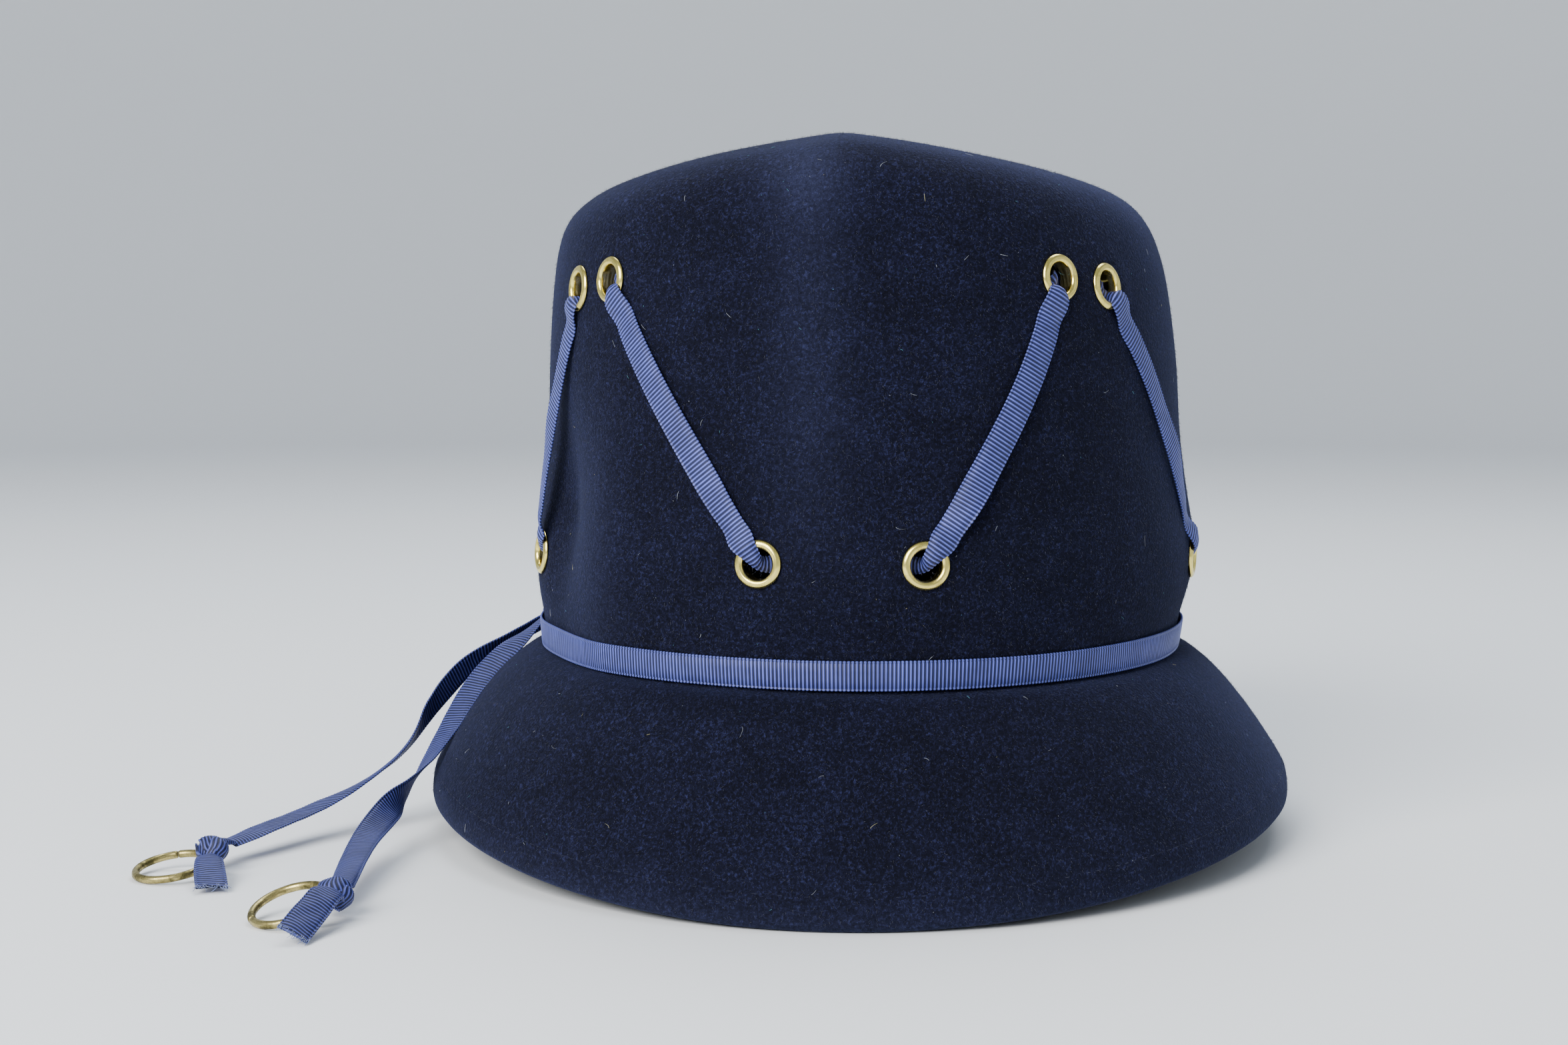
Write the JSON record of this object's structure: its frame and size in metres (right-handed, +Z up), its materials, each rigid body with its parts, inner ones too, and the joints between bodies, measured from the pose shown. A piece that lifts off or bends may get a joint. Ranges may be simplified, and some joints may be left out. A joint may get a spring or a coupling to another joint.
{
  "type": "laced felt hat",
  "caption": "Blocked felt hat with a soft crease over the crown, a sloping brim, grosgrain ribbon laced through brass eyelets and a ribbon band whose tied ends hold small rings.",
  "frame": {"origin": "on the ground plane under the middle of the brim, tails left out", "axes": "+Z up, -Y to the hat's front, +X to the right of someone who looks at the front"},
  "size_m": [0.288, 0.2963, 0.182],
  "materials": {
    "felt": "dark navy velour felt with a short soft nap",
    "ribbon": "violet-blue grosgrain with fine cross ribs and a low sheen",
    "eyelet_brass": "bright satin brass",
    "ring_brass": "darker, slightly tarnished brass"
  },
  "bodies": {
    "root": {"felt_body": "felt", "eyelet_01": "eyelet_brass", "eyelet_02": "eyelet_brass", "eyelet_03": "eyelet_brass", "eyelet_04": "eyelet_brass", "eyelet_05": "eyelet_brass", "eyelet_06": "eyelet_brass", "eyelet_07": "eyelet_brass", "eyelet_08": "eyelet_brass", "eyelet_09": "eyelet_brass", "eyelet_10": "eyelet_brass", "eyelet_11": "eyelet_brass", "eyelet_12": "eyelet_brass", "eyelet_13": "eyelet_brass", "eyelet_14": "eyelet_brass", "eyelet_15": "eyelet_brass", "eyelet_16": "eyelet_brass", "lacing": "ribbon", "hat_band": "ribbon", "band_knot": "ribbon", "tail_front": "ribbon", "tail_back": "ribbon", "tail_knot_front": "ribbon", "tail_knot_back": "ribbon", "ring_front": "ring_brass", "ring_back": "ring_brass"}
  },
  "joints": []
}
